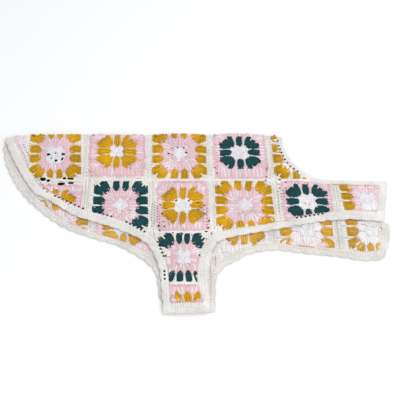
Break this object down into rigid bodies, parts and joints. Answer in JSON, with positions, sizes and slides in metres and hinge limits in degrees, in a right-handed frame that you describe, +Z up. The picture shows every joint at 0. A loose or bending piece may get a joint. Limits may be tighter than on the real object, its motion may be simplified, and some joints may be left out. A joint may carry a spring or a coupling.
{
  "type": "crochet dog coat",
  "caption": "Crochet dog coat of granny squares with a cream shell border, a belly strap and neck straps, folded along its spine and laid flat.",
  "frame": {"origin": "middle of the bounding box on the surface that the coat lies on", "axes": "+X towards the head end, +Y towards the folded spine, +Z up out of the near side"},
  "size_m": [0.508, 0.2622, 0.0067],
  "materials": {
    "cream_yarn": "matte cream cotton yarn in single crochet with a shell edging",
    "mustard_yarn": "matte cotton yarn, granny squares of white, pink, mustard and cream",
    "teal_yarn": "matte cotton yarn, granny squares of white, pink, dark teal and cream"
  },
  "bodies": {
    "root": {"far_border_belly_end": "cream_yarn", "far_border_belly_front": "cream_yarn", "far_border_belly_rear": "cream_yarn", "far_border_chest": "cream_yarn", "far_border_neck": "cream_yarn", "far_border_rear": "cream_yarn", "far_border_strap_end": "cream_yarn", "far_square_r0_c0": "mustard_yarn", "far_square_r0_c1": "teal_yarn", "far_square_r0_c2": "teal_yarn", "far_square_r0_c3": "mustard_yarn", "far_square_r0_c4": "mustard_yarn", "far_square_r0_c5": "teal_yarn", "far_square_r1_c1": "mustard_yarn", "far_square_r1_c2": "mustard_yarn", "far_square_r1_c3": "teal_yarn", "far_square_r1_c4": "mustard_yarn", "far_square_r1_c5": "mustard_yarn", "far_square_r1_c6": "mustard_yarn", "far_square_r2_c3": "mustard_yarn", "near_border_belly_end": "cream_yarn", "near_border_belly_front": "cream_yarn", "near_border_belly_rear": "cream_yarn", "near_border_chest": "cream_yarn", "near_border_neck": "cream_yarn", "near_border_rear": "cream_yarn", "near_border_strap_end": "cream_yarn", "near_square_r0_c0": "mustard_yarn", "near_square_r0_c1": "mustard_yarn", "near_square_r0_c2": "mustard_yarn", "near_square_r0_c3": "mustard_yarn", "near_square_r0_c4": "teal_yarn", "near_square_r0_c5": "mustard_yarn", "near_square_r1_c1": "mustard_yarn", "near_square_r1_c2": "teal_yarn", "near_square_r1_c3": "mustard_yarn", "near_square_r1_c4": "mustard_yarn", "near_square_r1_c5": "teal_yarn", "near_square_r1_c6": "mustard_yarn", "near_square_r2_c3": "teal_yarn", "near_square_r3_c3": "mustard_yarn"}
  },
  "joints": []
}
